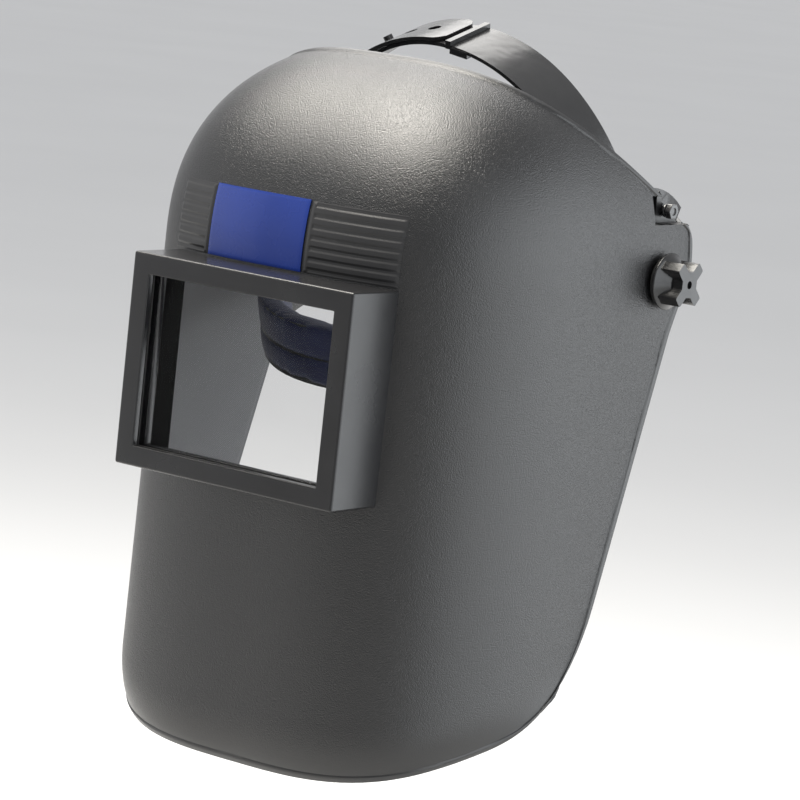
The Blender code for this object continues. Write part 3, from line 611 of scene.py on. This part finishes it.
# The inner walls behind the lens seat get the painted-shade black in place of the gloss black they are
# moulded in.
for face in window.data.polygons:
    from_wall = max(abs(face.center.x) - 12.3 * MM, abs(face.center.z - WINDOW_Z))
    if face.center.y > SEAT and from_wall < 42 * MM:
        face.material_index = 1
crisp(window)
mount(window, "shell", "gloss_black", "window_frame")


# Cover lens with its gasket and retainer, held in the box. The lens is clear polycarbonate, the
# gasket is black rubber, and the retainer is a sprung black frame.
def soften(node, width, *materials, segments=2, sharp=35):
    """Gives a moulded or turned part its finish, with softened edges."""
    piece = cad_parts[node]
    piece.data.materials.clear()
    for material in materials:
        piece.data.materials.append(material)
    weld = piece.modifiers.new("weld", "WELD")
    weld.merge_threshold = 0.002 * MM
    for polygon in piece.data.polygons:
        polygon.use_smooth = True
    round_edges(piece, width, segments, sharp).harden_normals = True
    return piece


place, feed = new_finish("clear_lens", Specular_IOR_Level=0.5)
clear_lens = feed(
    Base_Color=place.noise(20, 2).between((0.02, 0.022, 0.022), (0.04, 0.042, 0.042)),
    Roughness=0.03 + place.noise(60, 2) * 0.03,
    Alpha=0.02 + place.noise(50, 2) * 0.02,
)
soften("cover_lens", 0.2 * MM, clear_lens)
place, feed = new_finish("black_rubber", Specular_IOR_Level=0.3)
black_rubber = feed(
    Base_Color=place.noise(200, 3).between((0.006, 0.006, 0.006), (0.013, 0.013, 0.013)),
    Roughness=0.62 + place.noise(300, 2) * 0.2,
    Normal=place.noise(1200, 2).bump(0.04 * MM, 0.6),
)
soften("lens_gasket", 0.15 * MM, black_rubber)
soften("lens_retainer", 0.4 * MM, gloss_black)


# Stop plates and pegs. Each black plate lies inside the shell at a lug, its fan showing past the
# rim, and a hex-headed peg snaps through the recessed flat into it.
place, feed = new_finish("satin_black", Specular_IOR_Level=0.4)
satin_black = feed(
    Base_Color=place.noise(45, 3).between((0.006, 0.006, 0.0065), (0.012, 0.012, 0.0125)),
    Roughness=0.16 + place.noise(70, 4, 0.6) * 0.16,
    Normal=(place.noise(32, 3, 0.6) + place.noise(1400, 1) * 0.02).bump(0.9 * MM, 0.8),
)
place, feed = new_finish("peg_black", Specular_IOR_Level=0.6)
peg_black = feed(
    Base_Color=place.noise(300, 2).between((0.008, 0.008, 0.009), (0.02, 0.02, 0.021)),
    Roughness=0.14 + place.noise(400, 2) * 0.12,
)
for side, name in ((1, "left"), (-1, "right")):
    soften(f"limit_plate_{name}", 0.5 * MM, satin_black)
    spot = Vector((0, 0.1 * MM, 46.5 * MM))
    across = Vector((side * MM, 0, 0))
    peg = make_piece(f"stop_peg_{name}", rod(spot + across * 86.4, spot + across * 96, 1.9 * MM), peg_black)
    combine(peg, rod(spot + across * 93.7, spot + across * 94.9, 2.9 * MM), "UNION")
    combine(peg, rod(spot + across * 95.5, spot + across * 98.2, 3.5 * MM, 6), "UNION")
    combine(peg, rod(spot + across * 97.6, spot + across * 99, 1.5 * MM))
    round_edges(peg, 0.4 * MM, 3, 40)
    settle(peg, 40)
    crisp(peg)
    mount(peg, "shell", "peg", f"limit_pin_{name}")


# Tilt knobs. Each is a satin black moulding with a conical skirt on a rubber washer, four
# hollow-sided arms, and a dimple at the end of the brass nut that is moulded into it.
def knob_star(angle):
    """Radius of the grip: four blunt arms at 45 degrees with straight-sided hollows."""
    arm = abs((angle / (math.pi / 2)) % 1 - 0.5) * math.pi / 2
    flank = 2.6 * MM / max(math.sin(arm), 0.02)
    tip = 10.6 * MM / math.cos(arm)
    return max((flank ** -14 + tip ** -14) ** (-1 / 14), 5.4 * MM / math.cos(math.pi / 4 - arm))


KNOB_BASE = 102.2 * MM
for side, name in ((1, "left"), (-1, "right")):
    bm = bmesh.new()
    profile = [(0, 3.4), (0, 11.4), (0.3, 11.9), (1, 12), (1.5, 11.7), (1.9, 10.8), (6.2, 6.4), (6.6, 0)]
    verts = [bm.verts.new((along * MM, 0, radius * MM)) for along, radius in [(0, 0)] + profile]
    edges = [bm.edges.new(pair) for pair in zip(verts, verts[1:])]
    bmesh.ops.spin(bm, geom=verts + edges, cent=(0, 0, 0), axis=(1, 0, 0), angle=2 * math.pi,
                   steps=64, use_merge=True)
    bmesh.ops.remove_doubles(bm, verts=bm.verts, dist=1e-6)
    bmesh.ops.recalc_face_normals(bm, faces=bm.faces)
    knob = make_piece(f"wing_knob_{name}", bm, satin_black)
    star = bmesh.new()
    bmesh.ops.create_circle(star, cap_ends=True, segments=128, radius=1)
    for vert in star.verts:
        angle = math.atan2(vert.co.y, vert.co.x)
        reach = knob_star(angle)
        vert.co = (1.6 * MM, reach * math.cos(angle), reach * math.sin(angle))
    sweep = bmesh.ops.extrude_face_region(star, geom=star.faces[:])
    bmesh.ops.translate(star, vec=(9.6 * MM, 0, 0),
                        verts=[item for item in sweep["geom"] if isinstance(item, bmesh.types.BMVert)])
    combine(knob, star, "UNION")
    combine(knob, rod((9.6 * MM, 0, 0), (13 * MM, 0, 0), 1.7 * MM, 24))
    round_edges(knob, 0.6 * MM, 3, 40)
    settle(knob, 40)
    crisp(knob)
    turn = Matrix.Translation((side * KNOB_BASE, PIVOT.y, PIVOT.z)) @ Matrix.Diagonal((side, 1, 1, 1))
    knob.data.transform(turn)
    if side < 0:
        knob.data.flip_normals()
    mount(knob, f"tilt_knob_{name}", "satin_black", f"tilt_knob_{name}")
    soften(f"knob_washer_{name}", 0.3 * MM, black_rubber)


# Metal of the pivots. Zinc-plated bolts run through headband, carrier, plate and shell into the
# brass nuts in the knobs. The carriers are black rings fixed to the headband.
place, feed = new_finish("zinc_plate", Metallic=1.0)
zinc_plate = feed(
    Base_Color=place.noise(500, 3).between((0.5, 0.5, 0.52), (0.68, 0.68, 0.68)),
    Roughness=0.28 + place.noise(700, 3) * 0.18,
    Normal=place.noise(2500, 2).bump(0.02 * MM, 0.4),
)
place, feed = new_finish("turned_brass", Metallic=1.0)
turned_brass = feed(
    Base_Color=place.noise(300, 2).between((0.6, 0.4, 0.14), (0.75, 0.53, 0.22)),
    Roughness=0.24 + place.noise(900, 2) * 0.14,
)
for side in ("left", "right"):
    soften(f"pivot_bolt_{side}", 0.3 * MM, zinc_plate)
    soften(f"knob_nut_{side}", 0.2 * MM, turned_brass)
    soften(f"pivot_carrier_{side}", 0.4 * MM, satin_black)


# Headband and rear straps. Black polypropylene strip, satin, with rivets at the temples. The rear
# straps end in racks inside the nape housing.
place, feed = new_finish("strap_black", Specular_IOR_Level=0.4)
strap_black = feed(
    Base_Color=place.noise(35, 3).between((0.0065, 0.0065, 0.007), (0.0125, 0.0125, 0.013)),
    Roughness=0.3 + place.noise(90, 4, 0.6) * 0.16,
    Normal=(place.noise(120, 2) * 0.5 + place.noise(1100, 2) * 0.25).bump(0.06 * MM, 0.6),
)
soften("headband", 0.4 * MM, strap_black)
for side in ("left", "right"):
    soften(f"rear_strap_{side}", 0.35 * MM, strap_black)
    soften(f"temple_rivet_{side}", 0.4 * MM, satin_black)
    soften(f"crown_rivet_{side}", 0.4 * MM, satin_black)


# Crown strap. Two satin black moulded straps meet over the head: the left one carries a raised
# step, and its tongue runs on under the right one and is pegged up through one of its holes.
TILT = Matrix.Translation(PIVOT) @ Matrix.Rotation(math.radians(17), 4, "X")
CROWN_HALF, CROWN_RISE, CROWN_CENTRE, CROWN_SPLAY = 73.5 * MM, 77.2 * MM, 18 * MM, 2.4 * MM
STRAP_HALF_WIDTH, STRAP_THICKNESS = 14 * MM, 1.6 * MM


def crown_point(angle, lift):
    splay = abs(math.sin(angle)) ** 8 * (CROWN_SPLAY - lift)
    x = (CROWN_HALF + lift) * math.sin(angle) + math.copysign(splay, angle)
    return Vector((x, 0, CROWN_CENTRE + (CROWN_RISE + lift) * math.cos(angle)))


def crown_strap(name, points, narrow=0.0):
    """A strip along the points, with both ends rounded off, and a share of its width tapered off."""
    bm = bmesh.new()
    count, across = len(points) - 1, 12
    bmesh.ops.create_grid(bm, x_segments=count, y_segments=across, size=1)
    lengths = [0]
    for one, two in zip(points, points[1:]):
        lengths.append(lengths[-1] + (two - one).length)
    for vert in bm.verts:
        i = round((vert.co.x + 1) / 2 * count)
        near_end = min(lengths[i], lengths[-1] - lengths[i]) / (5 * MM)
        round_off = 1 - 0.35 * (1 - min(near_end, 1)) ** 2
        taper = 1 - narrow * min(max(lengths[i] / lengths[-1] * 3 - 2, 0), 1)
        y = vert.co.y * STRAP_HALF_WIDTH * round_off * taper
        vert.co = (points[i].x, y, points[i].z)
    bmesh.ops.recalc_face_normals(bm, faces=bm.faces)
    strap = make_piece(name, bm, satin_black)
    sheet = strap.modifiers.new("sheet", "SOLIDIFY")
    sheet.thickness = STRAP_THICKNESS
    sheet.offset = 0
    return settle(strap)


def crown_frame(degrees, lift):
    """The place on the crown arch at this angle, with +Z outwards and +X along the strap."""
    angle = math.radians(degrees)
    return Matrix.Translation(crown_point(angle, lift)) @ Matrix.Rotation(angle, 4, "Y")


def arc(first, last, count, lift):
    step = (last - first) / count
    return [crown_point(math.radians(first + step * i), lift) for i in range(count + 1)]


foot_x = CROWN_HALF + CROWN_SPLAY
inner, outer = -STRAP_THICKNESS / 2, STRAP_THICKNESS / 2 + 0.5 * MM
left_foot, right_foot = (
    [Vector((x, 0, 10.5 * MM)), Vector((x, 0, 14 * MM))] for x in (foot_x, -foot_x)
)
left_points = left_foot + arc(90, -36, 84, inner)
right_points = right_foot + arc(-88, 2, 60, outer)
left_strap = crown_strap("crown_strap_left_moulding", left_points, 0.25)
right_strap = crown_strap("crown_strap_right_moulding", right_points)
step_bar = block((-1.2 * MM, -14.3 * MM, -1.6 * MM), (1.4 * MM, 14.3 * MM, 2.0 * MM))
step_bar.transform(crown_frame(5.3, 0))
combine(left_strap, step_bar, "UNION")
tab = block((-4 * MM, -14.6 * MM, -3.4 * MM), (5 * MM, -6 * MM, -0.6 * MM))
tab.transform(crown_frame(9.5, 0))
combine(left_strap, tab, "UNION")
peg = rod((0, 0, -1.2 * MM), (0, 0, 4.2 * MM), 2.1 * MM, 24)
peg.transform(crown_frame(-28, 0))
combine(left_strap, peg, "UNION")
for degrees in (-28, -18, -8):
    hole = rod((0, 0, -3 * MM), (0, 0, 5 * MM), 2.9 * MM, 28)
    hole.transform(crown_frame(degrees, 0))
    combine(right_strap, hole)
for strap, side in ((left_strap, 1), (right_strap, -1)):
    rivet_hole = rod((side * 60 * MM, 0, 19.5 * MM), (side * 95 * MM, 0, 19.5 * MM), 2.4 * MM, 20)
    combine(strap, rivet_hole)
    combine(strap, rod((side * 60 * MM, 0, 0), (side * 95 * MM, 0, 0), 8.6 * MM, 40))
    round_edges(strap, 0.4 * MM, 2, 45)
    settle(strap, 40)
    crisp(strap)
    strap.data.transform(TILT)
mount(left_strap, "headgear", "satin_black", "crown_strap_left")
mount(right_strap, "headgear", "satin_black", "crown_strap_right")


# Ratchet at the nape. A black two-part housing on the crossed racks, a natural nylon pinion, and
# a fluted knob held by a plated screw.
place, feed = new_finish("natural_nylon", Specular_IOR_Level=0.5)
natural_nylon = feed(
    Base_Color=place.noise(200, 2).between((0.5, 0.48, 0.42), (0.6, 0.58, 0.52)),
    Roughness=0.42 + place.noise(400, 2) * 0.12,
)
for node, width, material in (
    ("housing_front", 0.7 * MM, strap_black),
    ("housing_rear", 0.9 * MM, strap_black),
    ("ratchet_pinion", 0.15 * MM, natural_nylon),
    ("ratchet_knob", 0.6 * MM, satin_black),
    ("ratchet_screw", 0.2 * MM, zinc_plate),
):
    soften(node, width, material)


# Pads. The sweatband is navy woven cotton over foam, wrapped round the brow of the headband and
# sewn along its middle. The nape pad is black jersey over foam, glued to the housing.
BAND_Z, BAND_POWER = -18.8 * MM, 2.35


def band_point(half_x, half_y, degrees):
    angle = math.radians(degrees)
    x = math.copysign(abs(math.sin(angle)) ** (2 / BAND_POWER), math.sin(angle))
    y = math.copysign(abs(math.cos(angle)) ** (2 / BAND_POWER), math.cos(angle))
    return Vector((half_x * x, -half_y * y, 0))


def pad_blank(name, half_x, half_y, first, last, middle, half_height, depth, *materials):
    """A rounded strip of foam along the band."""
    bm = bmesh.new()
    bmesh.ops.create_grid(bm, x_segments=60, y_segments=10, size=1)
    for vert in bm.verts:
        share = (vert.co.x + 1) / 2
        point = band_point(half_x, half_y, first + (last - first) * share)
        vert.co = (point.x, point.y, middle + vert.co.y * half_height)
    bmesh.ops.recalc_face_normals(bm, faces=bm.faces)
    pad = make_piece(name, bm, *materials)
    foam = pad.modifiers.new("foam", "SOLIDIFY")
    foam.thickness = depth
    foam.offset = 0
    lump = pad.modifiers.new("lump", "REMESH")
    lump.mode = "VOXEL"
    lump.voxel_size = 3 * MM
    return settle(pad, 180)


def inflate(pad, pressure, cap):
    """Lets the foam swell under its cover, no point moving further than the cap."""
    start = [vert.co.copy() for vert in pad.data.vertices]
    cloth = pad.modifiers.new("cover", "CLOTH")
    cloth.settings.use_pressure = True
    cloth.settings.uniform_pressure_force = pressure
    cloth.settings.effector_weights.gravity = 0
    cloth.settings.quality = 5
    cloth.settings.tension_stiffness = 12
    cloth.settings.compression_stiffness = 12
    cloth.settings.bending_stiffness = 0.4
    cloth.point_cache.frame_end = 20
    for moment in range(1, 21):
        bpy.context.scene.frame_set(moment)
    graph = bpy.context.evaluated_depsgraph_get()
    swollen = [vert.co.copy() for vert in pad.evaluated_get(graph).data.vertices]
    pad.modifiers.clear()
    for vert, begin, end in zip(pad.data.vertices, start, swollen):
        move = end - begin
        vert.co = begin + move * min(1, cap / max(move.length, 1e-9))
    bpy.context.scene.frame_set(1)


PAD_THREAD = 5200


def cotton(name, dark, light, sheen):
    place, feed = new_finish(name, Sheen_Weight=sheen, Sheen_Roughness=0.5, Specular_IOR_Level=0.2)
    x, y, z = (place.part(axis) * PAD_THREAD for axis in "XYZ")
    threads = x.math("SINE") * z.math("SINE") + y.math("SINE") * z.math("COSINE")
    wear = place.noise(55, 4, 0.6)
    return feed(
        Base_Color=(threads * 0.18 + wear).between(dark, light),
        Roughness=0.75 + wear * 0.15,
        Normal=(threads * 0.4 + place.noise(160, 3) * 1.6).bump(0.22 * MM, 0.7),
    )


navy_cotton = cotton("navy_cotton", (0.0035, 0.006, 0.026), (0.013, 0.02, 0.075), 0.25)
black_jersey = cotton("black_jersey", (0.004, 0.004, 0.005), (0.015, 0.015, 0.017), 0.15)
PAD_Z = BAND_Z + 0.6 * MM
sweatband = pad_blank("padded_sweatband", 74.6 * MM, 95 * MM, -66, 66, PAD_Z, 14 * MM, 9.6 * MM,
                      navy_cotton)
nape_pad = pad_blank("padded_nape", 71.5 * MM, 88.2 * MM, 159, 201, BAND_Z, 13.6 * MM, 4.6 * MM,
                     black_jersey)
for pad, cap in ((sweatband, 2.6 * MM), (nape_pad, 1.2 * MM)):
    inflate(pad, 4, cap)
    smooth = pad.modifiers.new("smooth", "SUBSURF")
    smooth.levels = smooth.render_levels = 1
    settle(pad, 180)
SEAM_WIDTH, SEAM_DEPTH = 1.3 * MM, 0.9 * MM
for vert in sweatband.data.vertices:
    outside = Vector((vert.co.x / 75.2, vert.co.y / 95.2)).length > MM
    from_seam = abs(vert.co.z - PAD_Z + 1.5 * MM)
    if outside:
        groove = math.exp(-((from_seam / SEAM_WIDTH) ** 2))
        vert.co -= vert.normal * SEAM_DEPTH * groove
for pad, body, slot, node, fill in (
    (sweatband, "headgear", "navy_pad", "sweatband", 0.7),
    (nape_pad, "nape", "foam", "nape_pad", 0.8),
):
    pad.data.transform(TILT)
    mount(pad, body, slot, node)


# Room. A plain pale floor lies well below the helmet, with the same pale light from all round.
# Five soft lamps stand about it, and the camera looks from the front left, a little above.
bm = bmesh.new()
FLOOR_HALF, FLOOR_DROP = 40, 0.3
bmesh.ops.create_grid(bm, x_segments=1, y_segments=1, size=FLOOR_HALF)
bmesh.ops.translate(bm, verts=bm.verts, vec=(0, 0, cad_low.z - FLOOR_DROP))
place, feed = new_finish("pale_floor", Roughness=0.8, Specular_IOR_Level=0.2)
pale_floor = feed(Base_Color=place.noise(2, 2).between((0.6, 0.6, 0.6), (0.64, 0.64, 0.64)))
floor = make_piece("floor", bm, pale_floor)

scene = bpy.context.scene
scene.view_settings.view_transform = "Standard"
world = bpy.data.worlds.new("studio")
scene.world = world
world.use_nodes = True
walls = world.node_tree.nodes["Background"].inputs
walls["Color"].default_value = (0.97, 0.98, 1, 1)
walls["Strength"].default_value = 0.85


def softbox(name, place, aim, width, height, power, colour):
    light = bpy.data.lights.new(name, "AREA")
    light.shape = "RECTANGLE"
    light.size = width
    light.size_y = height
    light.energy = power
    light.color = colour
    lamp = bpy.data.objects.new(name, light)
    scene.collection.objects.link(lamp)
    lamp.location = place
    lamp.rotation_euler = (Vector(aim) - Vector(place)).to_track_quat("-Z", "Y").to_euler()


softbox("overhead", (-0.45, -0.35, 1.4), (0, -0.05, 0), 1.2, 1.0, 84, (1, 0.96, 0.88))
softbox("above_behind", (-0.75, 0.85, 1.15), (0, -0.05, 0.05), 0.9, 0.9, 11, (1, 0.98, 0.95))
softbox("left_front", (1.5, -0.22, -0.1), (0, -0.05, -0.06), 1.3, 2.0, 26, (0.93, 0.97, 1))
softbox("left_rear", (1.2, 0.92, -0.1), (0, -0.05, -0.06), 1.3, 2.0, 28, (0.93, 0.97, 1))
softbox("right_front", (-1.47, -1.06, -0.1), (0, -0.05, -0.06), 1.1, 1.8, 6, (0.97, 0.98, 1))

eye = Vector((987.4, -1400.9, 194.6)) * MM
right, up, back = (
    Vector((0.7949, 0.5975, 0.1058)),
    Vector((-0.1701, 0.0521, 0.9840)),
    Vector((0.5825, -0.8002, 0.1431)),
)
camera = bpy.data.objects.new("camera", bpy.data.cameras.new("camera"))
scene.collection.objects.link(camera)
camera.data.lens = 178.8
camera.data.sensor_width = 36
camera.matrix_world = Matrix.Translation(eye) @ Matrix((right, up, back)).transposed().to_4x4()
scene.camera = camera
